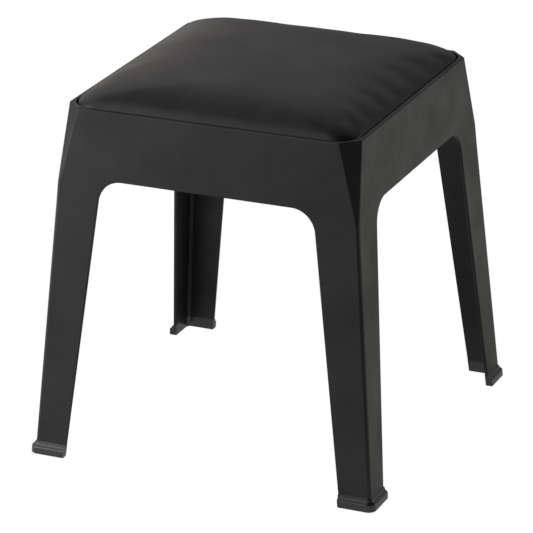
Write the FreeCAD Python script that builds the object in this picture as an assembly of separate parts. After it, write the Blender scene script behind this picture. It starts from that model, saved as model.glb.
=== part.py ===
import FreeCAD, Part
import math
import os

# Square stacking stool: a one-piece moulded plastic frame on four splayed angle-section legs,
# four soft shoes on the leg ends, and an upholstered seat pad sunk into the top of the frame.
# Millimetres. +X runs along the front, +Y to the back, +Z up. Origin: floor, under the seat's centre.

# Heights of the frame
RIM_HEIGHT = 415.0          # top of the rim round the seat pad
FACET_END = 326.5           # the corner facets come down to a point here
BEND_HEIGHT = 303.0         # below this the walls lean out a little more
ARCH_TOP = 335.2            # lower edge of the apron, between the legs
DECK_TOP = 399.0            # floor of the recess that takes the seat pad
DECK_THICKNESS = 3.0
RIB_BOTTOM = 388.0          # lower edge of the ribs and bosses under the deck

# Half widths of the outer walls, at three heights
RIM_HALF = 176.5
BEND_HALF = 184.7
FLOOR_HALF = 209.1

# Walls and corners of the frame
WALL = 4.0
RIM_FACET = 19.5            # how far each corner is cut back at the rim
RIM_FACET_EDGE_RADIUS = 2.0
LEG_CORNER_CUT = 2.6        # with the next radius, this is a plain round corner
LEG_CORNER_RADIUS = 4.0
INNER_CORNER_CUT = 3.2      # flat strip down the inner corner of each leg
INNER_EDGE_RADIUS = 0.6
INNER_RIM_CUT = 17.3        # inner side of the corner facet, one wall inside it
RIM_EDGE_RADIUS = 1.5

# Arch between two legs
ARCH_HALF_TOP = 128.5       # half width where the legs' inner edges meet the apron's lower edge
ARCH_HALF_FLOOR = 170.7
ARCH_RADIUS = 29.0
ARCH_EDGE_RADIUS = 0.8

# Recess and deck
RECESS_HALF = 172.0
RECESS_RADIUS = 28.0
RIB_THICKNESS = 2.5
RIB_OFFSETS = (-70.0, 0.0, 70.0)
BOSS_OFFSET = 105.0         # each screw boss lies this far from both centre planes
BOSS_RADIUS = 8.0
BOSS_HOLE_RADIUS = 2.6

# Shoes on the leg ends
SHOE_HEIGHT = 14.0
SHOE_SOLE = 3.0
SHOE_LIP = 1.7              # the shoe's top lip stands out this far from the leg's outer faces
SHOE_LIP_RISE = 1.6
SHOE_FLARE = 5.0            # and the shoe's body, under a rounded shoulder, this far
SHOE_SHOULDER = (8.0, 11.4)     # heights where the shoulder starts and ends
SHOE_BOTTOM_RADIUS = 1.4
SHOE_BOTTOM_STEPS = 3       # straight steps that stand for each round part of the shoe's profile
SHOE_SHOULDER_STEPS = 5
SHOE_LIP_STEPS = 4
TONGUE_INSET = 1.2          # the leg's end is thinned by this on both faces
TONGUE_END_INSET = 2.5      # and by this at its two free edges
TONGUE_ROOT = 0.5           # the thinned end starts this far above the shoe, inside the full wall

# Seat pad
PAD_HALF = 170.7            # outer half width of the pad, in its cover
PAD_RADIUS = 26.7
PAD_BOTTOM = 400.0          # underside of the cover, where it is folded under the board
PAD_EDGE_TOP = 411.0        # the pad's sides are upright up to here
PAD_ROLL_WIDTH = 79.0       # width of the rolled edge, from the side to the gentle crown
PAD_ROLL_HEIGHT = 29.5
PAD_DOME = 3.0              # rise of the gentle crown over the whole seat
PAD_ROUNDING = 1.0          # how fast the corners get rounder towards the middle
PAD_ROUNDEST = 0.97         # a corner radius is never over this share of the half width
PAD_TOP_HALF = 36.0         # the middle is flat within this
PAD_ROLL_STEPS = 8
PAD_DOME_STEPS = 3
COVER_THICKNESS = 1.0
COVER_FLANGE = 27.0         # width of cover folded under the board
BOARD_THICKNESS = 9.0

# Staples that hold the cover to the board
STAPLE_WIDTH = 10.0
STAPLE_WIRE_WIDTH = 1.2
STAPLE_WIRE_HEIGHT = 0.6
STAPLE_LEG = 6.0
STAPLE_EDGE_DISTANCE = 155.0
STAPLE_SPACING = 52.0
STAPLES_PER_SIDE = 6

# Screws that hold the pad's board to the frame
SCREW_RADIUS = 2.2
SCREW_END = 408.0           # tip of the screw, inside the board
SCREW_POINT = 3.0           # length of its point
SCREW_TIP_RADIUS = 0.4
SCREW_HEAD_RADIUS = 4.2
SCREW_HEAD_HEIGHT = 2.6
SCREW_HEAD_ROUNDING = 1.3
SCREW_SLOT_LENGTH = 4.6
SCREW_SLOT_WIDTH = 0.9
SCREW_SLOT_DEPTH = 1.4
BOARD_HOLE_RADIUS = 2.25
BOARD_HOLE_END = 408.5
WASHER_RADIUS = 6.5
WASHER_HOLE_RADIUS = 2.4
WASHER_THICKNESS = 1.0

# Sizes of the cutting tools
BELOW_FLOOR = -40.0         # tools that cut through the legs start here
PAST = 1.0                  # a tool reaches this far past the face that it cuts, or into what it joins
CLOSE = 0.1                 # edges are picked to this distance

# Worked out from the sizes above
WALL_SPREAD_UPPER = (BEND_HALF - RIM_HALF) / (RIM_HEIGHT - BEND_HEIGHT)
WALL_SPREAD_LOWER = (FLOOR_HALF - BEND_HALF) / BEND_HEIGHT
LEG_EDGE_SPREAD = (ARCH_HALF_FLOOR - ARCH_HALF_TOP) / ARCH_TOP
BOARD_BOTTOM = PAD_BOTTOM + COVER_THICKNESS
BOARD_TOP = BOARD_BOTTOM + BOARD_THICKNESS
SHOE_NAMES = {(-1, -1): "front_left_shoe", (1, -1): "front_right_shoe",
              (-1, 1): "back_left_shoe", (1, 1): "back_right_shoe"}
BOSS_PLACES = [(sx * BOSS_OFFSET, sy * BOSS_OFFSET) for sx in (-1, 1) for sy in (-1, 1)]


def wall_half(z):
    """Half width of the outer walls at height z: two straight slopes that meet at the bend."""
    if z >= BEND_HEIGHT:
        return BEND_HALF - WALL_SPREAD_UPPER * (z - BEND_HEIGHT)
    return BEND_HALF + WALL_SPREAD_LOWER * (BEND_HEIGHT - z)


def corner_square(half, cut, radius, z):
    """Edges of a square at height z with each corner cut off and both edges of the cut rounded.

    Every corner is an arc of an eighth turn, a straight piece and another eighth turn.
    """
    tangent = radius * math.tan(math.pi / 8)
    bulge = radius / math.cos(math.pi / 8) - radius
    slant = tangent / math.sqrt(2)
    edges = []
    for quarter in range(4):
        turn = FreeCAD.Rotation(FreeCAD.Vector(0, 0, 1), 90 * quarter)

        def place(x, y):
            return turn.multVec(FreeCAD.Vector(x, y, 0)) + FreeCAD.Vector(0, 0, z)

        near = half - cut
        first_knee = FreeCAD.Vector(half, near, 0)
        inward = FreeCAD.Vector(-math.cos(math.pi / 8), -math.sin(math.pi / 8), 0)
        first_mid = first_knee + inward * bulge
        points = [(half, tangent - near), (half, near - tangent), (first_mid.x, first_mid.y),
                  (half - slant, near + slant), (near + slant, half - slant),
                  (first_mid.y, first_mid.x), (near - tangent, half)]
        p = [place(x, y) for x, y in points]
        edges.append(Part.makeLine(p[0], p[1]))
        edges.append(Part.Arc(p[1], p[2], p[3]).toShape())
        edges.append(Part.makeLine(p[3], p[4]))
        edges.append(Part.Arc(p[4], p[5], p[6]).toShape())
    return edges


def round_square(half, radius, z):
    """Edges of a square at height z with round corners."""
    flat = half - radius
    diagonal = flat + radius / math.sqrt(2)
    edges = []
    for quarter in range(4):
        turn = FreeCAD.Rotation(FreeCAD.Vector(0, 0, 1), 90 * quarter)
        points = [(half, -flat), (half, flat), (diagonal, diagonal), (flat, half)]
        p = [turn.multVec(FreeCAD.Vector(x, y, 0)) + FreeCAD.Vector(0, 0, z) for x, y in points]
        edges.append(Part.makeLine(p[0], p[1]))
        edges.append(Part.Arc(p[1], p[2], p[3]).toShape())
    return edges


def outline_face(edges):
    """Flat face inside an outline."""
    return Part.Face(Part.Wire(edges))


def flat_side(low, high):
    """Flat four-sided face between two parallel straight edges, one above the other."""
    lower = [low.firstVertex().Point, low.lastVertex().Point]
    upper = [high.lastVertex().Point, high.firstVertex().Point]
    return Part.Face(Part.makePolygon(lower + upper + lower[:1]))


def ruled(outlines):
    """Solid through a stack of outlines, straight from each to the next: flat sides, ruled corners."""
    faces = [outline_face(outlines[0]), outline_face(outlines[-1])]
    for lower, upper in zip(outlines, outlines[1:]):
        for low, high in zip(lower, upper):
            if isinstance(low.Curve, Part.Line):
                faces.append(flat_side(low, high))
            else:
                faces.append(Part.makeRuledSurface(low, high))
    sewn = Part.makeShell(faces)
    sewn.sewShape()
    return Part.makeSolid(Part.makeShell(Part.makeSolid(sewn).Faces))


def leg_outline(z, inset=0.0):
    """Outer outline of the legs at height z, moved in by inset, or out where it is negative."""
    return corner_square(wall_half(z) - inset, LEG_CORNER_CUT, LEG_CORNER_RADIUS, z)


def leg_lining(z, inset=0.0):
    """Inner outline of the legs at height z, moved out by a negative inset."""
    return corner_square(wall_half(z) - WALL - inset, INNER_CORNER_CUT, INNER_EDGE_RADIUS, z)


def outer_body():
    """Everything inside the frame's outer faces, from below the floor up to the rim."""
    rim = corner_square(RIM_HALF, RIM_FACET, RIM_FACET_EDGE_RADIUS, RIM_HEIGHT)
    body = ruled([leg_outline(z) for z in (BELOW_FLOOR, BEND_HEIGHT, FACET_END)] + [rim])
    top_edges = [e for e in body.Edges if e.BoundBox.ZMin > RIM_HEIGHT - CLOSE]
    return body.makeFillet(RIM_EDGE_RADIUS, top_edges)


def inner_body(top):
    """The open space inside the walls, from below the floor up to the given height."""
    ceiling = corner_square(wall_half(top) - WALL, INNER_RIM_CUT, INNER_EDGE_RADIUS, top)
    return ruled([leg_lining(z) for z in (BELOW_FLOOR, BEND_HEIGHT, FACET_END)] + [ceiling])


def arch_prism(inset=0.0):
    """Tool that cuts the arch through the front and back walls, wider where inset is positive."""
    half_top = ARCH_HALF_TOP + inset
    half_low = ARCH_HALF_FLOOR + inset - LEG_EDGE_SPREAD * BELOW_FLOOR
    reach = 2 * FLOOR_HALF
    corners = [(-half_low, BELOW_FLOOR), (-half_top, ARCH_TOP),
               (half_top, ARCH_TOP), (half_low, BELOW_FLOOR)]
    points = [FreeCAD.Vector(x, -reach, z) for x, z in corners]
    prism = Part.Face(Part.makePolygon(points + points[:1])).extrude(FreeCAD.Vector(0, 2 * reach, 0))
    high = [e for e in prism.Edges if e.BoundBox.ZMin > ARCH_TOP - CLOSE]
    return prism.makeFillet(ARCH_RADIUS, [e for e in high if e.BoundBox.YLength > reach])


def both_ways(tool):
    """The tool for the front and back, and the same one turned for the two sides."""
    turned = tool.copy()
    turned.rotate(FreeCAD.Vector(0, 0, 0), FreeCAD.Vector(0, 0, 1), 90)
    return [tool, turned]


def slab(low, high):
    """A slab wider than the stool, between two heights."""
    side = 3 * FLOOR_HALF
    return Part.makeBox(side, side, high - low, FreeCAD.Vector(-side / 2, -side / 2, low))


def leg_tongues():
    """The thinned leg ends that the shoes are moulded round: four thin angles."""
    heights = (SHOE_SOLE, SHOE_HEIGHT + TONGUE_ROOT)
    outside = ruled([leg_outline(z, TONGUE_INSET) for z in heights])
    inside = ruled([leg_lining(z, -TONGUE_INSET) for z in heights])
    tongues = outside.cut(inside)
    for tool in both_ways(arch_prism(TONGUE_END_INSET)):
        tongues = tongues.cut(tool)
    return tongues


def deck_parts():
    """Deck under the seat pad, with its ribs and the four screw bosses."""
    bottom = DECK_TOP - DECK_THICKNESS
    reach = wall_half(bottom) - WALL / 2
    parts = []
    for offset in RIB_OFFSETS:
        corner = FreeCAD.Vector(-reach, offset - RIB_THICKNESS / 2, RIB_BOTTOM)
        rib = Part.makeBox(2 * reach, RIB_THICKNESS, bottom - RIB_BOTTOM + PAST, corner)
        parts += both_ways(rib)
    for x, y in BOSS_PLACES:
        base = FreeCAD.Vector(x, y, RIB_BOTTOM)
        parts.append(Part.makeCylinder(BOSS_RADIUS, BOARD_BOTTOM - RIB_BOTTOM, base))
    return parts


def frame_with_arches():
    """Walls, legs and rim in one shell, with the arches cut and their edges rounded."""
    deck_bottom = DECK_TOP - DECK_THICKNESS
    shell = outer_body().cut(inner_body(deck_bottom))
    for tool in both_ways(arch_prism()):
        shell = shell.cut(tool)
    shell = shell.cut(slab(BELOW_FLOOR - PAST, 0))
    return round_arch_edges(shell)


def is_arch_edge(edge):
    """True for the edges round the arches: not at the floor, not a corner, not through the wall."""
    box = edge.BoundBox
    if box.ZMax > ARCH_TOP + CLOSE or box.ZMax < CLOSE:
        return False
    mid = edge.valueAt((edge.FirstParameter + edge.LastParameter) / 2)
    across = min(abs(mid.x), abs(mid.y))
    through = max(box.XLength, box.YLength) < 1.2 * WALL and box.ZLength < WALL / 4
    return across < ARCH_HALF_TOP + LEG_EDGE_SPREAD * (ARCH_TOP - mid.z) + CLOSE and not through


def round_arch_edges(shell):
    """Rounds both edges of every cut wall end, along the arches and down the legs."""
    edges = [e for e in shell.Edges if is_arch_edge(e)]
    return shell.makeFillet(ARCH_EDGE_RADIUS, edges)


def stool_frame():
    """The whole moulding: shell, recess, deck, ribs, bosses and the thinned leg ends."""
    frame = frame_with_arches()
    recess = outline_face(round_square(RECESS_HALF, RECESS_RADIUS, DECK_TOP))
    frame = frame.cut(recess.extrude(FreeCAD.Vector(0, 0, 2 * (RIM_HEIGHT - DECK_TOP))))
    frame = frame.fuse(deck_parts())
    for x, y in BOSS_PLACES:
        hole = Part.makeCylinder(BOSS_HOLE_RADIUS, BOARD_BOTTOM - RIB_BOTTOM + 2 * PAST,
                                 FreeCAD.Vector(x, y, RIB_BOTTOM - PAST))
        frame = frame.cut(hole)
    frame = frame.cut(slab(BELOW_FLOOR, SHOE_HEIGHT))
    return frame.fuse(leg_tongues()).removeSplitter()


def smooth_drop(z, start, end):
    """Falls from 1 at the start height to 0 at the end height along half a cosine wave."""
    share = min(max((z - start) / (end - start), 0.0), 1.0)
    return (1 + math.cos(math.pi * share)) / 2


def shoe_flare(z):
    """How far the shoe stands out at height z: round at the floor, upright, then a shoulder and a lip."""
    body = (SHOE_FLARE - SHOE_LIP) * smooth_drop(z, *SHOE_SHOULDER)
    lip = SHOE_LIP * smooth_drop(z, SHOE_HEIGHT - SHOE_LIP_RISE, SHOE_HEIGHT)
    under = 0.0
    if z < SHOE_BOTTOM_RADIUS:
        under = SHOE_BOTTOM_RADIUS - math.sqrt(SHOE_BOTTOM_RADIUS ** 2 - (SHOE_BOTTOM_RADIUS - z) ** 2)
    return body + lip - under


def shoes():
    """The four shoes by name: a flared ring round all legs, less the inside, the arches and the tongues."""
    heights = []
    for k in range(SHOE_BOTTOM_STEPS + 1):
        turn = math.pi / 2 * k / SHOE_BOTTOM_STEPS
        heights.append(SHOE_BOTTOM_RADIUS * (1 - math.cos(turn)))
    low, high = SHOE_SHOULDER
    heights += [low + (high - low) * k / SHOE_SHOULDER_STEPS for k in range(SHOE_SHOULDER_STEPS + 1)]
    low = SHOE_HEIGHT - SHOE_LIP_RISE
    heights += [low + SHOE_LIP_RISE * k / SHOE_LIP_STEPS for k in range(SHOE_LIP_STEPS + 1)]
    outlines = []
    for z in heights:
        flare = shoe_flare(z)
        spread = LEG_CORNER_RADIUS + flare
        cut = LEG_CORNER_CUT * spread / LEG_CORNER_RADIUS
        outlines.append(corner_square(wall_half(z) + flare, cut, spread, z))
    ring = ruled(outlines).cut(ruled([leg_lining(BELOW_FLOOR), leg_lining(SHOE_HEIGHT + PAST)]))
    for tool in both_ways(arch_prism()):
        ring = ring.cut(tool)
    ring = ring.cut(leg_tongues())
    named = {}
    for solid in ring.Solids:
        centre = solid.CenterOfMass
        side = (1 if centre.x > 0 else -1, 1 if centre.y > 0 else -1)
        named[SHOE_NAMES[side]] = solid
    return named


def pad_profile():
    """Half width and height of the pad's outer surface, from the upright side to the flat middle.

    The rolled edge is a quarter of an ellipse, and a low dome is added over the whole seat.
    """
    insets = []
    for k in range(PAD_ROLL_STEPS + 1):
        insets.append(PAD_ROLL_WIDTH * (1 - math.cos(math.pi / 2 * k / PAD_ROLL_STEPS)))
    dome_step = (PAD_HALF - PAD_TOP_HALF - PAD_ROLL_WIDTH) / PAD_DOME_STEPS
    insets += [PAD_ROLL_WIDTH + dome_step * k for k in range(1, PAD_DOME_STEPS + 1)]
    profile = []
    for inset in insets:
        left = max(0.0, 1 - inset / PAD_ROLL_WIDTH)
        roll = PAD_ROLL_HEIGHT * math.sqrt(1 - left ** 2)
        dome = PAD_DOME * (1 - ((PAD_HALF - inset) / PAD_HALF) ** 2)
        profile.append((PAD_HALF - inset, PAD_EDGE_TOP + roll + dome))
    return profile


def inner_profile(profile):
    """The same profile one cover thickness further in, moved along its normals."""
    moved = []
    last = len(profile) - 1
    for k, (half, z) in enumerate(profile):
        before = profile[max(k - 1, 0)]
        after = profile[min(k + 1, last)]
        run = before[0] - after[0]
        rise = after[1] - before[1]
        if k == 0:
            run = 0.0
        length = math.hypot(run, rise)
        moved.append((half - COVER_THICKNESS * rise / length, z - COVER_THICKNESS * run / length))
    return moved


def pad_body(profile, edge_half, edge_radius, bottom):
    """Solid under a pad profile, with upright sides down to the given height."""
    outlines = [round_square(edge_half, edge_radius, bottom)]
    for half, z in profile:
        radius = edge_radius + PAD_ROUNDING * (edge_half - half)
        outlines.append(round_square(half, min(radius, PAD_ROUNDEST * half), z))
    return ruled(outlines)


def staples():
    """Wire staples through the cover's folded edge into the board, six along each side."""
    reach = STAPLE_WIDTH / 2
    bottom = PAD_BOTTOM - STAPLE_WIRE_HEIGHT
    solids = []
    for k in range(STAPLES_PER_SIDE):
        x = (k - (STAPLES_PER_SIDE - 1) / 2) * STAPLE_SPACING
        y = -STAPLE_EDGE_DISTANCE
        crown = Part.makeBox(STAPLE_WIDTH, STAPLE_WIRE_WIDTH, STAPLE_WIRE_HEIGHT,
                             FreeCAD.Vector(x - reach, y, bottom))
        legs = []
        for left in (x - reach, x + reach - STAPLE_WIRE_HEIGHT):
            legs.append(Part.makeBox(STAPLE_WIRE_HEIGHT, STAPLE_WIRE_WIDTH, STAPLE_LEG,
                                     FreeCAD.Vector(left, y, bottom)))
        staple = crown.fuse(legs).removeSplitter()
        for quarter in range(4):
            turned = staple.copy()
            turned.rotate(FreeCAD.Vector(0, 0, 0), FreeCAD.Vector(0, 0, 1), 90 * quarter)
            solids.append(turned)
    return solids


def screw(x, y):
    """Pan-head wood screw from below, with a cross slot, through the boss into the board."""
    seat = RIB_BOTTOM - WASHER_THICKNESS
    axis = FreeCAD.Vector(x, y, 0)
    face = seat - SCREW_HEAD_HEIGHT
    head = Part.makeCylinder(SCREW_HEAD_RADIUS, SCREW_HEAD_HEIGHT, axis + FreeCAD.Vector(0, 0, face))
    rim = [e for e in head.Edges if e.BoundBox.ZMax < face + CLOSE]
    head = head.makeFillet(SCREW_HEAD_ROUNDING, rim)
    shank_end = SCREW_END - SCREW_POINT
    shank = Part.makeCylinder(SCREW_RADIUS, shank_end - seat, axis + FreeCAD.Vector(0, 0, seat))
    point = Part.makeCone(SCREW_RADIUS, SCREW_TIP_RADIUS, SCREW_POINT,
                          axis + FreeCAD.Vector(0, 0, shank_end))
    body = head.fuse([shank, point])
    for length, width in ((SCREW_SLOT_LENGTH, SCREW_SLOT_WIDTH), (SCREW_SLOT_WIDTH, SCREW_SLOT_LENGTH)):
        corner = FreeCAD.Vector(x - length / 2, y - width / 2, face - PAST)
        body = body.cut(Part.makeBox(length, width, SCREW_SLOT_DEPTH + PAST, corner))
    return body


def washer(x, y):
    """Flat washer between a screw head and its boss."""
    base = FreeCAD.Vector(x, y, RIB_BOTTOM - WASHER_THICKNESS)
    disc = Part.makeCylinder(WASHER_RADIUS, WASHER_THICKNESS, base)
    return disc.cut(Part.makeCylinder(WASHER_HOLE_RADIUS, WASHER_THICKNESS, base))


def seat_board():
    """Plywood board of the seat pad, with blind holes for the screws."""
    inner_half = PAD_HALF - COVER_THICKNESS
    outline = outline_face(round_square(inner_half, PAD_RADIUS - COVER_THICKNESS, BOARD_BOTTOM))
    board = outline.extrude(FreeCAD.Vector(0, 0, BOARD_THICKNESS))
    for x, y in BOSS_PLACES:
        base = FreeCAD.Vector(x, y, BOARD_BOTTOM)
        board = board.cut(Part.makeCylinder(BOARD_HOLE_RADIUS, BOARD_HOLE_END - BOARD_BOTTOM, base))
    return board.cut(staples())


def seat_foam():
    """Crowned foam block on the board."""
    inner = inner_profile(pad_profile())
    return pad_body(inner, PAD_HALF - COVER_THICKNESS, PAD_RADIUS - COVER_THICKNESS, BOARD_TOP)


def seat_cover():
    """Thin cover over the foam and round the board's edge, folded under it."""
    outer = pad_body(pad_profile(), PAD_HALF, PAD_RADIUS, PAD_BOTTOM)
    inner = pad_body(inner_profile(pad_profile()), PAD_HALF - COVER_THICKNESS,
                     PAD_RADIUS - COVER_THICKNESS, BOARD_BOTTOM)
    mouth_half = PAD_HALF - COVER_THICKNESS - COVER_FLANGE
    mouth = outline_face(round_square(mouth_half, PAD_RADIUS, PAD_BOTTOM - PAST))
    cover = outer.cut(inner).cut(mouth.extrude(FreeCAD.Vector(0, 0, COVER_THICKNESS + 2 * PAST)))
    return cover.cut(staples())


def main():
    """Writes one file for each node, and prints what it holds."""
    os.makedirs("parts", exist_ok=True)
    nodes = {"stool_frame": stool_frame()}
    nodes.update(shoes())
    nodes["seat_board"] = seat_board()
    nodes["seat_foam"] = seat_foam()
    nodes["seat_cover"] = seat_cover()
    nodes["cover_staples"] = Part.makeCompound(staples())
    nodes["seat_screws"] = Part.makeCompound([screw(x, y) for x, y in BOSS_PLACES])
    nodes["screw_washers"] = Part.makeCompound([washer(x, y) for x, y in BOSS_PLACES])
    for name, shape in nodes.items():
        if len(shape.Solids) == 1:
            shape = shape.Solids[0]
        shape.exportStep("parts/" + name + ".step")
        print(name, "solids", len(shape.Solids), "faces", len(shape.Faces),
              "valid", shape.isValid(), "volume %.0f" % shape.Volume)


main()
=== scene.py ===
import math

import bpy
import numpy as np
from mathutils import Matrix, Vector


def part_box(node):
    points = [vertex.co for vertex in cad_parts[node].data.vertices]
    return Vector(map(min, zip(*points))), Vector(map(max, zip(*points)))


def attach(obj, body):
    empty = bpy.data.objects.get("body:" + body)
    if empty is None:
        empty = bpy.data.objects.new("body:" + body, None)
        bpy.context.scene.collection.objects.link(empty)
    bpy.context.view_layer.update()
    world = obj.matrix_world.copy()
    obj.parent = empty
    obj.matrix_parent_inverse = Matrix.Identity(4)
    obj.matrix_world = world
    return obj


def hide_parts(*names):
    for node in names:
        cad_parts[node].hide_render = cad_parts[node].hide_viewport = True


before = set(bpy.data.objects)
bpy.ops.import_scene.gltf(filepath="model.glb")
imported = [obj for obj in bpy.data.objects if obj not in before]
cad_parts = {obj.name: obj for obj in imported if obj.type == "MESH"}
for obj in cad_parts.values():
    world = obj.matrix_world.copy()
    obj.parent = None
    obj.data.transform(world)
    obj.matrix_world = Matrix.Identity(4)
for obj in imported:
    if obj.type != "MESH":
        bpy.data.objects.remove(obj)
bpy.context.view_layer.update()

# The camera. It stands about four metres from the stool, above the seat's height and to the
# right of the front, with a long lens, so that the legs' edges stay nearly parallel. The values are
# the photograph's: the frame is 533 pixels square.
FRAME_PIXELS = 533
SENSOR_WIDTH = 36.0
FOCAL_PIXELS = 3465.8
VIEW_AZIMUTH = math.radians(23.678)
VIEW_ELEVATION = math.radians(21.464)
VIEW_ROLL = math.radians(-0.452)
VIEW_DISTANCE = 4.0219
VIEW_TARGET_HEIGHT = 0.2075
VIEW_SHIFT_RIGHT = -0.00604
VIEW_SHIFT_UP = -0.02097


def photograph_view():
    """Camera matrix: looks at the stool's middle from the given azimuth and elevation, turned by the
    roll about its own axis, and moved sideways and up in its own plane."""
    sin_a, cos_a = math.sin(VIEW_AZIMUTH), math.cos(VIEW_AZIMUTH)
    sin_e, cos_e = math.sin(VIEW_ELEVATION), math.cos(VIEW_ELEVATION)
    forward = np.array([-sin_a * cos_e, cos_a * cos_e, -sin_e])
    level = np.array([cos_a, sin_a, 0.0])
    upright = np.cross(level, forward)
    right = math.cos(VIEW_ROLL) * level + math.sin(VIEW_ROLL) * upright
    up = math.cos(VIEW_ROLL) * upright - math.sin(VIEW_ROLL) * level
    place = np.array([0.0, 0.0, VIEW_TARGET_HEIGHT]) - VIEW_DISTANCE * forward
    place = place + VIEW_SHIFT_RIGHT * right + VIEW_SHIFT_UP * up
    matrix = np.eye(4)
    matrix[:3] = np.column_stack([right, up, -forward, place])
    return Matrix(matrix.tolist())


camera_lens = bpy.data.cameras.new("photograph_camera")
camera_lens.sensor_width = SENSOR_WIDTH
camera_lens.lens = FOCAL_PIXELS / FRAME_PIXELS * SENSOR_WIDTH
camera_lens.clip_end = 60.0
camera = bpy.data.objects.new("photograph_camera", camera_lens)
bpy.context.scene.collection.objects.link(camera)
camera.matrix_world = photograph_view()
bpy.context.scene.camera = camera
bpy.context.scene.view_settings.view_transform = "Standard"


# The studio. The camera sees a plain white sweep. The stool's black faces take nearly all of their
# tone from what they mirror, so the room has one soft light for each direction that they mirror, the
# paper on the floor is brighter on some sides, and four soft boxes stand close by.
FLOOR_HALF_WIDTH = 15.0
# Room lights: azimuth and elevation they come from, how narrow they are, strength and tint
ROOM_LIGHTS = (
    (-45.0, 8.0, 8.0, 1.70, (0.98, 0.98, 1.03)),
    (-60.0, 36.0, 10.0, 0.80, (0.99, 0.98, 1.05)),
    (-40.0, 62.0, 12.0, 0.22, (1.00, 1.00, 1.02)),
    (-120.0, 36.0, 10.0, 0.63, (0.97, 1.00, 1.00)),
    (-135.0, 8.0, 8.0, 0.33, (1.12, 1.04, 1.00)),
    (180.0, 36.0, 10.0, 0.39, (0.97, 0.98, 1.00)),
    (135.0, 8.0, 8.0, 0.25, (1.00, 0.98, 0.96)),
)
# Sides of the floor that glow: azimuth and strength. Under the stool the paper is in its shade.
FLOOR_SIDES = ((-45.0, 0.37), (180.0, 0.47), (90.0, 0.57))
FLOOR_SIDE_NARROWNESS = 3.0
FLOOR_SHADE_RADIUS = 0.24
FLOOR_TINT = (1.02, 1.00, 0.95)
# Pools of light on the floor: place, radius and strength
FLOOR_POOLS = (((-0.30, -1.40, 0.0), 0.40, 0.23), ((0.15, -0.45, 0.0), 0.20, 0.42),
               ((0.95, 0.95, 0.0), 0.50, 0.21), ((-1.20, 0.30, 0.0), 0.55, 1.20))
# Soft boxes: name, place, width, radiance and tint
SOFT_BOXES = (
    ("left_soft_box", (-1.00, -0.90, 0.45), 0.80, 0.74, (1.00, 1.00, 1.05)),
    ("upper_soft_box", (-0.80, -0.60, 1.30), 0.70, 0.21, (0.98, 0.97, 1.03)),
    ("right_soft_box", (1.20, 0.60, 0.50), 0.80, 0.28, (0.94, 0.98, 1.02)),
    ("back_soft_box", (-0.90, 0.90, 0.50), 0.80, 0.06, (1.20, 1.06, 0.96)),
)
SOFT_BOX_AIM = (0.0, 0.0, 0.25)


def put(tree, kind, settings=None, inputs=None):
    """Adds a shader node, sets its own settings, and links or sets the inputs named."""
    node = tree.nodes.new("ShaderNode" + kind)
    for name, value in (settings or {}).items():
        setattr(node, name, value)
    for name, value in (inputs or {}).items():
        if isinstance(value, bpy.types.NodeSocket):
            tree.links.new(value, node.inputs[name])
        else:
            node.inputs[name].default_value = value
    return node


def maths(tree, operation, first, second=0.0):
    """Output of a Math node on two values or sockets."""
    return put(tree, "Math", {"operation": operation}, {0: first, 1: second}).outputs[0]


def direction(azimuth, elevation):
    """Unit vector towards an azimuth and elevation in degrees; azimuth 0 is in front of the stool."""
    a, e = math.radians(azimuth), math.radians(elevation)
    return (math.sin(a) * math.cos(e), -math.cos(a) * math.cos(e), math.sin(e))


def lobe(tree, towards, axis, narrow):
    """Soft lobe round an axis: the cosine to it, raised to a power."""
    product = put(tree, "VectorMath", {"operation": "DOT_PRODUCT"}, {0: towards, 1: axis})
    return maths(tree, "POWER", maths(tree, "MAXIMUM", product.outputs["Value"], 0.0), narrow)


def white_to_camera(tree, kind, seen_by_stool):
    """Mixes a glow that only the stool sees with the plain white that the camera sees."""
    white = put(tree, kind, None, {"Color": (1.0, 1.0, 1.0, 1.0)}).outputs[0]
    camera_ray = put(tree, "LightPath").outputs["Is Camera Ray"]
    return put(tree, "MixShader", None, {0: camera_ray, 1: seen_by_stool, 2: white}).outputs[0]


def studio_room():
    """World light: the sum of the room lights, each a tinted lobe."""
    world = bpy.data.worlds.new("studio_room")
    bpy.context.scene.world = world
    world.use_nodes = True
    tree = world.node_tree
    tree.nodes.clear()
    towards = put(tree, "TexCoord").outputs["Generated"]
    total = (0.0, 0.0, 0.0)
    for azimuth, elevation, narrow, strength, tint in ROOM_LIGHTS:
        shape = lobe(tree, towards, direction(azimuth, elevation), narrow)
        colour = [strength * part for part in tint]
        light = put(tree, "VectorMath", {"operation": "SCALE"}, {0: colour, "Scale": shape}).outputs[0]
        total = put(tree, "VectorMath", {"operation": "ADD"}, {0: total, 1: light}).outputs[0]
    room = put(tree, "Background", None, {"Color": total}).outputs[0]
    put(tree, "OutputWorld", None, {"Surface": white_to_camera(tree, "Background", room)})


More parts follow.
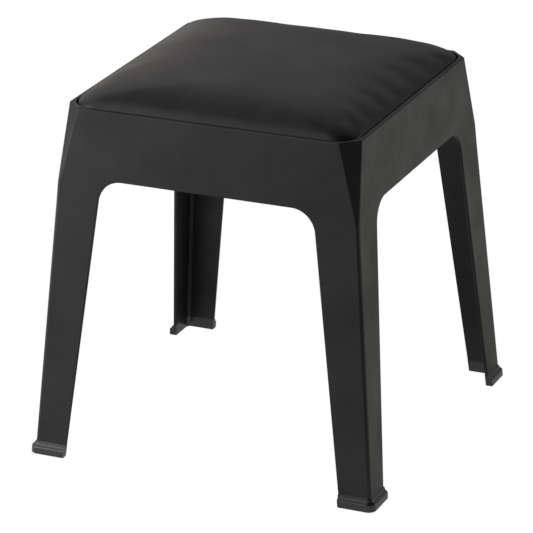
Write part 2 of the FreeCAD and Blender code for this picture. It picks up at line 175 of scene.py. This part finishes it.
def floor_glow(tree):
    """Glow of the floor towards the stool: lobes by side that fade out under the stool, as one over e
    to the fourth power of the distance, and round pools that fade as a bell does."""
    place = put(tree, "TexCoord").outputs["Object"]
    side = put(tree, "VectorMath", {"operation": "NORMALIZE"}, {0: place}).outputs[0]
    total = 0.0
    for azimuth, strength in FLOOR_SIDES:
        shape = lobe(tree, side, direction(azimuth, 0.0), FLOOR_SIDE_NARROWNESS)
        total = maths(tree, "ADD", total, maths(tree, "MULTIPLY", shape, strength))
    out = put(tree, "VectorMath", {"operation": "LENGTH"}, {0: place}).outputs["Value"]
    fourth = maths(tree, "POWER", maths(tree, "DIVIDE", out, FLOOR_SHADE_RADIUS), 4.0)
    shade = maths(tree, "EXPONENT", maths(tree, "MULTIPLY", fourth, -1.0))
    total = maths(tree, "MULTIPLY", total, maths(tree, "SUBTRACT", 1.0, shade))
    for middle, radius, strength in FLOOR_POOLS:
        away = put(tree, "VectorMath", {"operation": "DISTANCE"}, {0: place, 1: middle}).outputs["Value"]
        share = maths(tree, "POWER", maths(tree, "DIVIDE", away, radius), 2.0)
        bell = maths(tree, "EXPONENT", maths(tree, "MULTIPLY", share, -0.5))
        total = maths(tree, "ADD", total, maths(tree, "MULTIPLY", bell, strength))
    return put(tree, "VectorMath", {"operation": "SCALE"}, {0: FLOOR_TINT, "Scale": total}).outputs[0]


def studio_floor():
    """A wide level floor that only glows."""
    side = FLOOR_HALF_WIDTH
    corners = [(-side, -side, 0.0), (side, -side, 0.0), (side, side, 0.0), (-side, side, 0.0)]
    mesh = bpy.data.meshes.new("studio_floor")
    mesh.from_pydata(corners, [], [(0, 1, 2, 3)])
    floor = bpy.data.objects.new("studio_floor", mesh)
    bpy.context.scene.collection.objects.link(floor)
    material = bpy.data.materials.new("studio_floor")
    material.use_nodes = True
    tree = material.node_tree
    tree.nodes.clear()
    glow = put(tree, "Emission", None, {"Color": floor_glow(tree)}).outputs[0]
    put(tree, "OutputMaterial", None, {"Surface": white_to_camera(tree, "Emission", glow)})
    mesh.materials.append(material)


def soft_box(name, place, width, radiance, tint):
    """Square area light that faces the stool, hidden from the camera. A flat lamp's radiance is its
    power over its area and over pi squared."""
    light = bpy.data.lights.new(name, "AREA")
    light.shape = "SQUARE"
    light.size = width
    light.energy = radiance * (math.pi * width) ** 2
    light.color = tint
    box = bpy.data.objects.new(name, light)
    bpy.context.scene.collection.objects.link(box)
    box.location = place
    box.rotation_euler = (Vector(SOFT_BOX_AIM) - Vector(place)).to_track_quat("-Z", "Y").to_euler()
    box.visible_camera = False


studio_room()
studio_floor()
for values in SOFT_BOXES:
    soft_box(*values)


# The frame. One injection moulding in black polypropylene: apron, rim, deck and four angle legs.
# The mould was spark-eroded, so every outer face has a very fine even grain, and the plastic's own
# flow leaves faint slow patches in its gloss.
PLASTIC_DARK = (0.0050, 0.0050, 0.0053, 1.0)
PLASTIC_LIGHT = (0.0175, 0.0175, 0.0183, 1.0)
PLASTIC_ROUGHNESS = (0.40, 0.50)
PLASTIC_GRAIN_PER_METRE = 1900.0
PLASTIC_PATCHES_PER_METRE = 16.0
PLASTIC_GRAIN_DEPTH = 0.000012
PLASTIC_IOR = 1.49
# How far the patches and the flow streaks each move the tone, and the part of the noise's range
# that the tone spans
PATCH_SHARE = 0.92
STREAK_SHARE = 0.08
TONE_LOW = 0.35
TONE_HIGH = 0.65
RUBBED_GLOSS = 0.05


def new_group(name, inputs, outputs):
    """Empty shader node group with the sockets named, and its input and output nodes."""
    tree = bpy.data.node_groups.new(name, "ShaderNodeTree")
    for title, kind, value in inputs:
        socket = tree.interface.new_socket(name=title, in_out="INPUT", socket_type="NodeSocket" + kind)
        if value is not None:
            socket.default_value = value
    for title, kind in outputs:
        tree.interface.new_socket(name=title, in_out="OUTPUT", socket_type="NodeSocket" + kind)
    return tree, tree.nodes.new("NodeGroupInput"), tree.nodes.new("NodeGroupOutput")


def use_group(tree, group, inputs):
    """Places a node group in a material with its own values."""
    node = tree.nodes.new("ShaderNodeGroup")
    node.node_tree = group
    for name, value in inputs.items():
        if isinstance(value, bpy.types.NodeSocket):
            tree.links.new(value, node.inputs[name])
        else:
            node.inputs[name].default_value = value
    return node


def make_moulded_grain():
    """Group: fine grain height from two noises, slow gloss patches, and short faint flow streaks
    that run down the walls."""
    group, given, result = new_group(
        "moulded_grain",
        [("Vector", "Vector", None), ("Grain", "Float", 1500.0), ("Patches", "Float", 16.0)],
        [("Height", "Float"), ("Patch", "Float"), ("Streak", "Float")])
    place = given.outputs["Vector"]
    fine = put(group, "TexNoise", None, {"Vector": place, "Scale": given.outputs["Grain"],
                                         "Detail": 2.0, "Roughness": 0.6})
    coarse_scale = maths(group, "MULTIPLY", given.outputs["Grain"], 0.31)
    coarse = put(group, "TexNoise", None, {"Vector": place, "Scale": coarse_scale, "Detail": 1.0})
    height = maths(group, "ADD", maths(group, "MULTIPLY", fine.outputs["Fac"], 0.65),
                   maths(group, "MULTIPLY", coarse.outputs["Fac"], 0.35))
    patch = put(group, "TexNoise", None, {"Vector": place, "Scale": given.outputs["Patches"],
                                          "Detail": 3.0, "Roughness": 0.55})
    long_way = put(group, "Mapping", None, {"Vector": place, "Scale": (1.0, 1.0, 0.12)})
    streak = put(group, "TexNoise", None, {"Vector": long_way.outputs[0], "Scale": 140.0,
                                           "Detail": 2.0, "Roughness": 0.5})
    group.links.new(height, result.inputs["Height"])
    group.links.new(patch.outputs["Fac"], result.inputs["Patch"])
    group.links.new(streak.outputs["Fac"], result.inputs["Streak"])
    return group


def make_rubbed_marks():
    """Group: mask of short rubbed marks, where a stretched noise passes a level, in scattered areas."""
    group, given, result = new_group(
        "rubbed_marks",
        [("Vector", "Vector", None), ("Scale", "Float", 60.0), ("Level", "Float", 0.62)],
        [("Mask", "Float")])
    tilted = put(group, "Mapping", None, {"Vector": given.outputs["Vector"],
                                          "Rotation": (0.3, 0.5, 0.9), "Scale": (1.0, 0.12, 0.5)})
    lines = put(group, "TexNoise", None, {"Vector": tilted.outputs[0], "Scale": given.outputs["Scale"],
                                          "Detail": 3.0, "Roughness": 0.7})
    areas = put(group, "TexNoise", None, {"Vector": given.outputs["Vector"],
                                          "Scale": 9.0, "Detail": 1.0})
    level = given.outputs["Level"]
    above = put(group, "MapRange", None, {"Value": lines.outputs["Fac"], "From Min": level,
                                          "From Max": maths(group, "ADD", level, 0.12)})
    where = put(group, "MapRange", None, {"Value": areas.outputs["Fac"], "From Min": 0.48,
                                          "From Max": 0.62})
    mask = maths(group, "MULTIPLY", above.outputs[0], where.outputs[0])
    group.links.new(mask, result.inputs["Mask"])
    return group


moulded_grain = make_moulded_grain()
rubbed_marks = make_rubbed_marks()


def new_material(name):
    """Material with an empty tree, its shader and its output, and the point in object coordinates."""
    material = bpy.data.materials.new(name)
    material.use_nodes = True
    tree = material.node_tree
    tree.nodes.clear()
    shader = put(tree, "BsdfPrincipled")
    put(tree, "OutputMaterial", None, {"Surface": shader.outputs[0]})
    place = put(tree, "TexCoord").outputs["Object"]
    return material, tree, shader, place


def blend_colours(tree, share, first, second):
    """Output of a colour mix between two colours or sockets."""
    node = tree.nodes.new("ShaderNodeMix")
    node.data_type = "RGBA"
    for socket, value in zip((node.inputs[0], node.inputs[6], node.inputs[7]), (share, first, second)):
        if isinstance(value, bpy.types.NodeSocket):
            tree.links.new(value, socket)
        else:
            socket.default_value = value
    return node.outputs[2]


def spread(tree, value, low, high):
    """Maps a value from 0..1 to low..high."""
    return put(tree, "MapRange", None, {"Value": value, "To Min": low, "To Max": high}).outputs[0]


def moulded_plastic(name, dark, light, roughness, grain, grain_depth, ior):
    """Black moulded plastic or rubber: near-black colour that shifts in slow patches with its gloss,
    fine grain, and a few rubbed marks that are a little glossier."""
    material, tree, shader, place = new_material(name)
    texture = use_group(tree, moulded_grain, {"Vector": place, "Grain": grain,
                                              "Patches": PLASTIC_PATCHES_PER_METRE})
    marks = use_group(tree, rubbed_marks, {"Vector": place, "Scale": 70.0, "Level": 0.60})
    mixed = maths(tree, "ADD", maths(tree, "MULTIPLY", texture.outputs["Patch"], PATCH_SHARE),
                  maths(tree, "MULTIPLY", texture.outputs["Streak"], STREAK_SHARE))
    tone = put(tree, "MapRange", None, {"Value": mixed, "From Min": TONE_LOW,
                                        "From Max": TONE_HIGH}).outputs[0]
    colour = blend_colours(tree, tone, dark, light)
    tree.links.new(colour, shader.inputs["Base Color"])
    gloss = spread(tree, tone, roughness[1], roughness[0])
    rubbed = maths(tree, "MULTIPLY", marks.outputs["Mask"], RUBBED_GLOSS)
    tree.links.new(maths(tree, "SUBTRACT", gloss, rubbed), shader.inputs["Roughness"])
    shader.inputs["IOR"].default_value = ior
    bump = put(tree, "Bump", None, {"Height": texture.outputs["Height"], "Distance": grain_depth,
                                    "Strength": 1.0})
    tree.links.new(bump.outputs[0], shader.inputs["Normal"])
    return material


def dress(node, material):
    """Gives a carried-over node its material in every slot."""
    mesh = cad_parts[node].data
    mesh.materials.clear()
    mesh.materials.append(material)
    mesh.update()


dress("stool_frame", moulded_plastic("frame_plastic", PLASTIC_DARK, PLASTIC_LIGHT, PLASTIC_ROUGHNESS,
                                     PLASTIC_GRAIN_PER_METRE, PLASTIC_GRAIN_DEPTH, PLASTIC_IOR))


# The shoes. Four flared feet in a softer black plastic, moulded round the thinned ends of the legs.
# They are a little smoother than the frame, and their rounded shoulders catch the light.
SHOE_DARK = (0.014, 0.014, 0.015, 1.0)
SHOE_LIGHT = (0.020, 0.020, 0.022, 1.0)
SHOE_ROUGHNESS = (0.21, 0.28)
SHOE_GRAIN_PER_METRE = 2400.0
SHOE_GRAIN_DEPTH = 0.000004
SHOE_IOR = 1.78

shoe_rubber = moulded_plastic("shoe_rubber", SHOE_DARK, SHOE_LIGHT, SHOE_ROUGHNESS,
                              SHOE_GRAIN_PER_METRE, SHOE_GRAIN_DEPTH, SHOE_IOR)
for shoe in ("front_left_shoe", "front_right_shoe", "back_left_shoe", "back_right_shoe"):
    dress(shoe, shoe_rubber)


# The board. Nine millimetres of birch plywood in seven plies, sawn to the pad's outline, with the
# foam glued on top and the cover's edge stapled underneath.
PLY_COUNT = 7
PLY_PALE = (0.66, 0.49, 0.30, 1.0)
PLY_DARK = (0.36, 0.22, 0.11, 1.0)


def birch_plywood():
    """Plies as bands in height that turn the grain by a right angle, with long stretched noise for the
    grain lines and a darker glue line between plies."""
    material, tree, shader, place = new_material("birch_plywood")
    low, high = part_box("seat_board")
    split = put(tree, "SeparateXYZ", None, {"Vector": place})
    level = put(tree, "MapRange", None, {"Value": split.outputs["Z"],
                                         "From Min": low.z, "From Max": high.z,
                                         "To Min": 0.0, "To Max": float(PLY_COUNT)}).outputs[0]
    ply = maths(tree, "MODULO", maths(tree, "FLOOR", level), 2.0)
    glue = put(tree, "MapRange", None, {"Value": maths(tree, "PINGPONG", level, 0.5),
                                        "From Min": 0.0, "From Max": 0.08}).outputs[0]
    grains = []
    for scale in ((1.0, 12.0, 12.0), (12.0, 1.0, 12.0)):
        stretched = put(tree, "Mapping", None, {"Vector": place, "Scale": scale})
        noise = put(tree, "TexNoise", None, {"Vector": stretched.outputs[0], "Scale": 16.0,
                                             "Detail": 5.0, "Roughness": 0.6, "Distortion": 0.4})
        grains.append(noise.outputs["Fac"])
    grain = put(tree, "Mix", {"data_type": "FLOAT"}, {0: ply, 2: grains[0], 3: grains[1]}).outputs[0]
    streaks = put(tree, "MapRange", None, {"Value": grain, "From Min": 0.35,
                                           "From Max": 0.68}).outputs[0]
    wood = blend_colours(tree, streaks, PLY_PALE, PLY_DARK)
    tree.links.new(blend_colours(tree, glue, PLY_DARK, wood), shader.inputs["Base Color"])
    tree.links.new(spread(tree, streaks, 0.55, 0.72), shader.inputs["Roughness"])
    bump = put(tree, "Bump", None, {"Height": grain, "Distance": 0.0002, "Strength": 0.6})
    tree.links.new(bump.outputs[0], shader.inputs["Normal"])
    return material


dress("seat_board", birch_plywood())


# The fasteners. Staples of bright steel wire hold the cover to the board, and four zinc-plated
# pan-head screws with washers hold the board to the bosses under the deck.
WIRE_STEEL = (0.55, 0.55, 0.56, 1.0)
ZINC_PLATE = (0.62, 0.60, 0.54, 1.0)
DULL_PLATE = (0.30, 0.29, 0.26, 1.0)


def plated_steel(name, bright, dull, roughness, scale):
    """Plated steel: bright metal that turns duller in small spots, with fine drawn lines."""
    material, tree, shader, place = new_material(name)
    spots = put(tree, "TexNoise", None, {"Vector": place, "Scale": scale, "Detail": 4.0,
                                         "Roughness": 0.7})
    share = put(tree, "MapRange", None, {"Value": spots.outputs["Fac"], "From Min": 0.45,
                                         "From Max": 0.75}).outputs[0]
    lines = put(tree, "Mapping", None, {"Vector": place, "Scale": (1.0, 1.0, 14.0)})
    drawn = put(tree, "TexNoise", None, {"Vector": lines.outputs[0], "Scale": scale * 3.0,
                                         "Detail": 2.0})
    tree.links.new(blend_colours(tree, share, bright, dull), shader.inputs["Base Color"])
    tree.links.new(spread(tree, share, roughness[0], roughness[1]), shader.inputs["Roughness"])
    shader.inputs["Metallic"].default_value = 1.0
    bump = put(tree, "Bump", None, {"Height": drawn.outputs["Fac"], "Distance": 0.00003,
                                    "Strength": 0.7})
    tree.links.new(bump.outputs[0], shader.inputs["Normal"])
    return material


dress("cover_staples", plated_steel("staple_wire", WIRE_STEEL, DULL_PLATE, (0.28, 0.42), 700.0))
zinc = plated_steel("zinc_plate", ZINC_PLATE, DULL_PLATE, (0.32, 0.50), 450.0)
dress("seat_screws", zinc)
dress("screw_washers", zinc)


# The cover. One piece of black coated leather cloth, pulled over the foam and stapled under the
# board. It is taut over the seat, and the pull leaves soft gathers square to the edges, deepest
# along the right side and at the corners.
COVER_LOW, COVER_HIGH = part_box("seat_cover")
BOARD_LOW, BOARD_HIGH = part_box("seat_board")
SEAT_HALF = COVER_HIGH.x
SIDE_HEIGHT = 0.011
UPRIGHT_TOP = COVER_LOW.z + SIDE_HEIGHT
CORNER_RADIUS = 0.0267
CORNER_GROWTH = 1.0
ROUNDEST = 0.97
ROLL_WIDTH = 0.085
ROLL_BLEND = 0.12
DOME_RISE = 0.0029
ROLL_HEIGHT = COVER_HIGH.z - UPRIGHT_TOP - DOME_RISE
COVER_THICKNESS = BOARD_LOW.z - COVER_LOW.z
RADIUS_BLEND = 0.006
AROUND = 400
CORNER_CROWDING = 0.6
SEAT_MIDDLE = 0.002     # the last ring of the crown has this half width


def around_angles():
    """Angles of the points round an outline, crowded towards the four corners: a steady turn plus a
    sine of four times itself."""
    turn = np.arange(AROUND) * 2 * math.pi / AROUND
    return turn + CORNER_CROWDING * np.sin(4 * turn) / 4


def corner_radius(inset):
    """Corner radius of the outline at a distance in from the side: it grows steadily, and blends
    smoothly into a share of the half width where the outline is nearly a circle."""
    growing = CORNER_RADIUS + CORNER_GROWTH * inset
    roundest = ROUNDEST * (SEAT_HALF - inset)
    gap = growing - roundest
    return (growing + roundest - np.sqrt(gap ** 2 + RADIUS_BLEND ** 2)) / 2


def crown_height(inset):
    """Height of the cover at a distance in from the side: a quarter of an ellipse over the
    rolled edge, softened where it ends, plus a low parabola over the whole seat."""
    rest = 1 - inset / ROLL_WIDTH
    left = (rest + np.sqrt(rest ** 2 + ROLL_BLEND ** 2)) / (1 + math.sqrt(1 + ROLL_BLEND ** 2))
    roll = ROLL_HEIGHT * np.sqrt(np.maximum(0.0, 1 - left ** 2))
    dome = DOME_RISE * (1 - ((SEAT_HALF - inset) / SEAT_HALF) ** 2)
    return UPRIGHT_TOP + roll + dome


def ring_points(half, radius, height):
    """Grid of points, one ring for each half width, radius and height: the ray at each angle meets the
    outline's flat side where it can, and the corner's arc otherwise."""
    angle = around_angles()[None, :]
    half, radius, height = (np.asarray(v, float)[:, None] for v in (half, radius, height))
    fold = np.abs((angle + math.pi / 4) % (math.pi / 2) - math.pi / 4)
    centre = half - radius
    on_side = half / np.cos(fold)
    under_root = radius ** 2 - centre ** 2 * (1 - np.sin(2 * fold))
    on_corner = centre * (np.cos(fold) + np.sin(fold)) + np.sqrt(np.maximum(0.0, under_root))
    reach = np.where(half * np.tan(fold) <= centre, on_side, on_corner)
    level = np.broadcast_to(height, reach.shape)
    return np.stack([reach * np.cos(angle), reach * np.sin(angle), level], axis=-1)


def grid_normals(points):
    """Unit normals of a grid of rings, from its differences along and round it."""
    along = np.gradient(points, axis=0)
    around = np.roll(points, -1, axis=1) - np.roll(points, 1, axis=1)
    normal = np.cross(around, along)
    return normal / np.maximum(np.linalg.norm(normal, axis=-1, keepdims=True), 1e-12)


def crown_insets(roll_steps, dome_steps):
    """Distances in from the side for the rings of the crown: close together on the tight part of the
    roll, as the cosine of an even turn, then even over the dome almost to the middle."""
    turn = np.linspace(0.0, math.pi / 2, roll_steps + 1)
    roll = ROLL_WIDTH * (1 - np.cos(turn))
    dome = np.linspace(ROLL_WIDTH, SEAT_HALF - SEAT_MIDDLE, dome_steps + 1)[1:]
    return np.concatenate([roll, dome])


def ring_mesh(name, rings, middle_low, middle_high):
    """Closed mesh of a stack of rings: quads between rings, and a fan to a middle point at each end.
    The rings run from the lower middle outwards and up to the upper middle."""
    count, around = rings.shape[:2]
    points = np.concatenate([rings.reshape(-1, 3), [middle_low, middle_high]])
    step = np.arange(around)
    after = (step + 1) % around
    rows = (np.arange(count - 1) * around)[:, None]
    quads = np.stack([rows + step, rows + after, rows + around + after, rows + around + step], axis=-1)
    last = (count - 1) * around
    low_fan = np.stack([after, step, np.full(around, count * around)], axis=-1)
    high_fan = np.stack([last + step, last + after, np.full(around, count * around + 1)], axis=-1)
    mesh = bpy.data.meshes.new(name)
    faces = quads.reshape(-1, 4).tolist() + low_fan.tolist() + high_fan.tolist()
    mesh.from_pydata(points.tolist(), [], faces)
    mesh.shade_smooth()
    mesh.set_sharp_from_angle(angle=math.radians(50))
    piece = bpy.data.objects.new(name, mesh)
    bpy.context.scene.collection.objects.link(piece)
    return piece


# Gathers: side they start from (in quarter turns from the right), place along that side, depth,
# half width, length in over the roll, and how far they lean along the side by their end
GATHERS = (
    (0, -0.138, 0.0012, 0.0080, 0.040, 0.010),
    (0, -0.108, 0.0016, 0.0090, 0.062, 0.012),
    (0, -0.066, 0.0018, 0.0095, 0.070, 0.010),
    (0, -0.024, 0.0016, 0.0100, 0.072, 0.008),
    (0, 0.021, 0.0012, 0.0100, 0.060, 0.004),
    (0, 0.070, 0.0013, 0.0110, 0.058, -0.004),
    (0, 0.118, 0.0012, 0.0100, 0.050, -0.008),
    (1, -0.120, 0.0006, 0.0110, 0.050, 0.006),
    (1, -0.052, 0.0007, 0.0120, 0.055, 0.004),
    (1, 0.034, 0.0006, 0.0120, 0.050, 0.002),
    (1, 0.102, 0.0008, 0.0110, 0.050, -0.006),
    (2, -0.112, 0.0006, 0.0110, 0.050, 0.006),
    (2, -0.040, 0.0005, 0.0130, 0.055, 0.004),
    (2, 0.060, 0.0006, 0.0120, 0.055, -0.004),
    (2, 0.128, 0.0006, 0.0100, 0.045, -0.006),
    (3, -0.126, 0.0005, 0.0100, 0.040, 0.006),
    (3, -0.044, 0.0004, 0.0130, 0.050, 0.004),
    (3, 0.052, 0.0004, 0.0130, 0.050, -0.004),
    (3, 0.132, 0.0009, 0.0090, 0.050, -0.010),
)
GATHER_START = 0.010    # a gather reaches its full depth this far in from the edge
GATHER_DROP = 0.004     # gathers start this far under the top of the upright side
GATHER_RISE = 0.006     # and are full this much higher


def smooth_step(value):
    """Rises from 0 to 1 between 0 and 1 with level ends."""
    clipped = np.clip(value, 0.0, 1.0)
    return clipped * clipped * (3 - 2 * clipped)


def gather_depth(points):
    """Depth of the gathers at each point: for each gather, a bell across it, a quick start from the
    edge and a slow fade at its end."""
    depth = np.zeros(points.shape[:2])
    for side, place, deep, width, length, lean in GATHERS:
        turn = side * math.pi / 2
        outward = points[..., 0] * math.cos(turn) + points[..., 1] * math.sin(turn)
        along = points[..., 1] * math.cos(turn) - points[..., 0] * math.sin(turn)
        inset = SEAT_HALF - outward
        travel = inset / length
        across = (along - place - lean * travel) / (width * (1 + 0.5 * travel))
        held_in = smooth_step(inset / GATHER_START) * (1 - smooth_step(travel))
        depth += deep * np.exp(-across ** 2) * held_in
    return depth


# Rings of the flange, the hem and the side, which come before the crown's first ring
FLANGE_WIDTH = 0.028
FLANGE_RINGS = 6
HEM_RADIUS = 0.003
HEM_RINGS = 4
SIDE_RINGS = 2
CROWN_START = FLANGE_RINGS + HEM_RINGS + SIDE_RINGS
ROLL_RINGS = 26
DOME_RINGS = 30
# The cloth: size of its cells, the smaller start, pressure, slack, frames, reaches of the fine and
# the broad mean of its movement, and the most that a point of the cover moves
CLOTH_CELL = 0.006
CLOTH_START = 0.0012
CLOTH_PRESSURE = 4.0
CLOTH_SLACK = 0.008
CLOTH_FRAMES = 20
CLOTH_FINE = 0.004
CLOTH_BROAD = 0.018
CLOTH_CAP = 0.0009
# Share of the folds that stays away from the right side, and where they fade out
CLOTH_TAUT = 0.25
CLOTH_FADE = (0.018, 0.060)
# The cloth is held up to a little over the upright sides, and is free from this rise above them.
# The right side's share blends into the others' across the seat's diagonals.
CLOTH_HELD = 0.002
CLOTH_FREE = 0.010
DIAGONAL_BLEND = 0.015


def cloth_points(mesh):
    """Points of a mesh as rows of three numbers."""
    points = np.empty(len(mesh.vertices) * 3)
    mesh.vertices.foreach_get("co", points)
    return points.reshape(-1, 3)


def cloth_draft(start):
    """Closed body of even square cells with the form of the rings given."""
    draft = ring_mesh("cloth_draft", start, start[0].mean(axis=0), start[-1].mean(axis=0))
    cells = draft.modifiers.new("cells", "REMESH")
    cells.mode = "VOXEL"
    cells.voxel_size = CLOTH_CELL
    even = bpy.data.meshes.new_from_object(draft.evaluated_get(bpy.context.evaluated_depsgraph_get()))
    draft.modifiers.clear()
    draft.data = even
    return draft


def settle(draft):
    """Places of the draft's points before and after it settles as cloth: held at its sides, with a
    little slack and pressure from within."""
    before = cloth_points(draft.data)
    held = draft.vertex_groups.new(name="held")
    held.add(np.flatnonzero(before[:, 2] < UPRIGHT_TOP + CLOTH_HELD).tolist(), 1.0, "REPLACE")
    cloth = draft.modifiers.new("cloth", "CLOTH")
    cloth.settings.vertex_group_mass = "held"
    cloth.settings.use_pressure = True
    cloth.settings.uniform_pressure_force = CLOTH_PRESSURE
    cloth.settings.shrink_min = -CLOTH_SLACK
    cloth.settings.effector_weights.gravity = 0.0
    for step in range(1, CLOTH_FRAMES + 1):
        bpy.context.scene.frame_set(step)
    after = cloth_points(draft.evaluated_get(bpy.context.evaluated_depsgraph_get()).data)
    bpy.context.scene.frame_set(1)
    return before, after


def bell_mean(ring, before, moved, reach):
    """Mean movement of the cloth round each point, weighted by a bell of the distance to it."""
    square = (ring ** 2).sum(1)[:, None] + (before ** 2).sum(1)[None, :] - 2 * ring @ before.T
    share = np.exp(-0.5 * square / reach ** 2)
    return (share @ moved) / share.sum(1, keepdims=True)


def settled(outer):
    """The cover's rings with the folds that the cloth makes when it settles. The foam keeps the pad's
    broad form, so a point moves by the fine mean of the cloth's movement less the broad one, no
    further than the cap. The folds are full along the right side, slight along the others, and fade
    out towards the middle."""
    free = smooth_step((outer[..., 2:3] - UPRIGHT_TOP) / CLOTH_FREE)
    reach = np.abs(outer[..., :2]).max(axis=-1, keepdims=True)
    fade = 1 - smooth_step((SEAT_HALF - reach - CLOTH_FADE[0]) / (CLOTH_FADE[1] - CLOTH_FADE[0]))
    nearer = outer[..., :1] - np.abs(outer[..., 1:2])
    right = smooth_step((nearer + DIAGONAL_BLEND) / (2 * DIAGONAL_BLEND))
    share = free * fade * (CLOTH_TAUT + (1 - CLOTH_TAUT) * right)
    start = outer - CLOTH_START * free * grid_normals(outer)
    draft = cloth_draft(start)
    before, after = settle(draft)
    bpy.data.objects.remove(draft)
    moved = after - before
    folds = np.array([bell_mean(ring, before, moved, CLOTH_FINE)
                      - bell_mean(ring, before, moved, CLOTH_BROAD) for ring in start])
    length = np.linalg.norm(folds, axis=-1, keepdims=True)
    return outer + share * folds * CLOTH_CAP / np.hypot(length, CLOTH_CAP)


def cover_rings():
    """Rings of the cover: in from the edge of the folded flange to the hem, up the side, over the
    crown to the middle, and the same way back one thickness further in."""
    flange = np.linspace(SEAT_HALF - FLANGE_WIDTH, SEAT_HALF - HEM_RADIUS, FLANGE_RINGS)
    turn = np.linspace(0.0, math.pi / 2, HEM_RINGS + 1)[1:]
    hem_half = SEAT_HALF - HEM_RADIUS * (1 - np.sin(turn))
    hem_height = COVER_LOW.z + HEM_RADIUS * (1 - np.cos(turn))
    side_height = np.linspace(COVER_LOW.z + HEM_RADIUS, UPRIGHT_TOP, SIDE_RINGS + 2)[1:-1]
    insets = crown_insets(ROLL_RINGS, DOME_RINGS)
    half = np.concatenate([flange, hem_half, np.full(SIDE_RINGS, SEAT_HALF), SEAT_HALF - insets])
    flat = np.full(FLANGE_RINGS, COVER_LOW.z)
    height = np.concatenate([flat, hem_height, side_height, crown_height(insets)])
    radius = np.concatenate([np.full(CROWN_START, CORNER_RADIUS), corner_radius(insets)])
    outer = ring_points(half, radius, height)
    normals = grid_normals(outer)
    above = smooth_step((outer[..., 2:3] - UPRIGHT_TOP + GATHER_DROP) / GATHER_RISE)
    outer = outer - normals * gather_depth(outer)[..., None] * above
    outer = settled(outer)
    inner = outer - COVER_THICKNESS * grid_normals(outer)
    return outer, inner


# The crease colour is painted shade in the grooves between the pebbles; the pebble colour is the cloth's
# own.
LEATHER_CREASE_SHADE = (0.006, 0.006, 0.006, 1.0)
LEATHER_PEBBLE = (0.011, 0.0107, 0.0105, 1.0)
LEATHER_ROUGHNESS = (0.31, 0.51)
LEATHER_IOR = 1.47


def black_leather():
    """Black coated cloth embossed with a fine pebble grain: small cells, with painted shade darkening
    the creases between them, and slow soft patches in the gloss."""
    material, tree, shader, place = new_material("black_leather")
    cells = put(tree, "TexVoronoi", {"feature": "DISTANCE_TO_EDGE"}, {"Vector": place, "Scale": 780.0})
    crease_bump_and_shade = put(tree, "MapRange", None, {"Value": cells.outputs["Distance"], "From Min": 0.0,
                                          "From Max": 0.16}).outputs[0]
    fine = put(tree, "TexNoise", None, {"Vector": place, "Scale": 2600.0, "Detail": 2.0})
    slow = put(tree, "TexNoise", None, {"Vector": place, "Scale": 11.0, "Detail": 3.0})
    height = maths(tree, "ADD", maths(tree, "MULTIPLY", crease_bump_and_shade, 0.8),
                   maths(tree, "MULTIPLY", fine.outputs["Fac"], 0.2))
    # Painted shade: the grooves between the pebbles take the darker crease colour.
    colour = blend_colours(tree, crease_bump_and_shade, LEATHER_CREASE_SHADE, LEATHER_PEBBLE)
    tree.links.new(colour, shader.inputs["Base Color"])
    tree.links.new(spread(tree, slow.outputs["Fac"], *LEATHER_ROUGHNESS), shader.inputs["Roughness"])
    shader.inputs["IOR"].default_value = LEATHER_IOR
    bump = put(tree, "Bump", None, {"Height": height, "Distance": 0.00003, "Strength": 0.8})
    tree.links.new(bump.outputs[0], shader.inputs["Normal"])
    return material


cover_outer, cover_inner = cover_rings()
shell = np.concatenate([cover_inner[::-1], cover_outer])
cover = ring_mesh("leather_cover", shell, cover_inner[-1].mean(axis=0), cover_outer[-1].mean(axis=0))
cover.data.materials.append(black_leather())
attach(cover, "root")
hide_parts("seat_cover")


# The foam. A block of cream polyurethane foam, glued to the board and cut with rolled edges, pulled
# down by the cover into a crown that is highest in the middle of the seat.
FOAM_GAP = 0.00005
FOAM_MIDDLE = 0.010      # half width of the first ring of the underside
FOAM_UNDER_RINGS = 14
FOAM_SIDE = (0.0003, 0.0007)     # heights of the side's rings over the board
FOAM_PALE = (0.80, 0.74, 0.56, 1.0)
FOAM_YELLOWED = (0.72, 0.62, 0.40, 1.0)
FOAM_PORE = (0.30, 0.25, 0.15, 1.0)


def foam_rings():
    """Rings of the foam: flat underside on the board, upright side, then the crown, all one cover
    thickness inside the cover."""
    shrink = COVER_THICKNESS + FOAM_GAP
    crown = (cover_inner - FOAM_GAP * grid_normals(cover_inner))[CROWN_START:]
    half = SEAT_HALF - shrink
    radius = CORNER_RADIUS - shrink
    under = np.linspace(FOAM_MIDDLE, half, FOAM_UNDER_RINGS)
    level = np.full(FOAM_UNDER_RINGS, BOARD_HIGH.z)
    bottom = ring_points(under, np.minimum(radius, under * ROUNDEST), level)
    side = ring_points([half, half], [radius, radius], [BOARD_HIGH.z + rise for rise in FOAM_SIDE])
    return np.concatenate([bottom, side, crown])


def cream_foam():
    """Open-celled foam: small round cells as bump, and slow yellowing."""
    material, tree, shader, place = new_material("cream_foam")
    cells = put(tree, "TexVoronoi", {"feature": "F1"}, {"Vector": place, "Scale": 900.0})
    slow = put(tree, "TexNoise", None, {"Vector": place, "Scale": 14.0, "Detail": 2.0})
    colour = blend_colours(tree, slow.outputs["Fac"], FOAM_PALE, FOAM_YELLOWED)
    depth = spread(tree, cells.outputs["Distance"], 1.0, 0.55)
    pores = blend_colours(tree, depth, FOAM_PORE, colour)
    tree.links.new(pores, shader.inputs["Base Color"])
    tree.links.new(spread(tree, slow.outputs["Fac"], 0.85, 0.95), shader.inputs["Roughness"])
    bump = put(tree, "Bump", None, {"Height": cells.outputs["Distance"], "Distance": 0.0004,
                                    "Strength": 0.9})
    tree.links.new(bump.outputs[0], shader.inputs["Normal"])
    return material


foam_layers = foam_rings()
foam = ring_mesh("foam_block", foam_layers, foam_layers[0].mean(axis=0), foam_layers[-1].mean(axis=0))
foam.data.materials.append(cream_foam())
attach(foam, "root")
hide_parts("seat_foam")
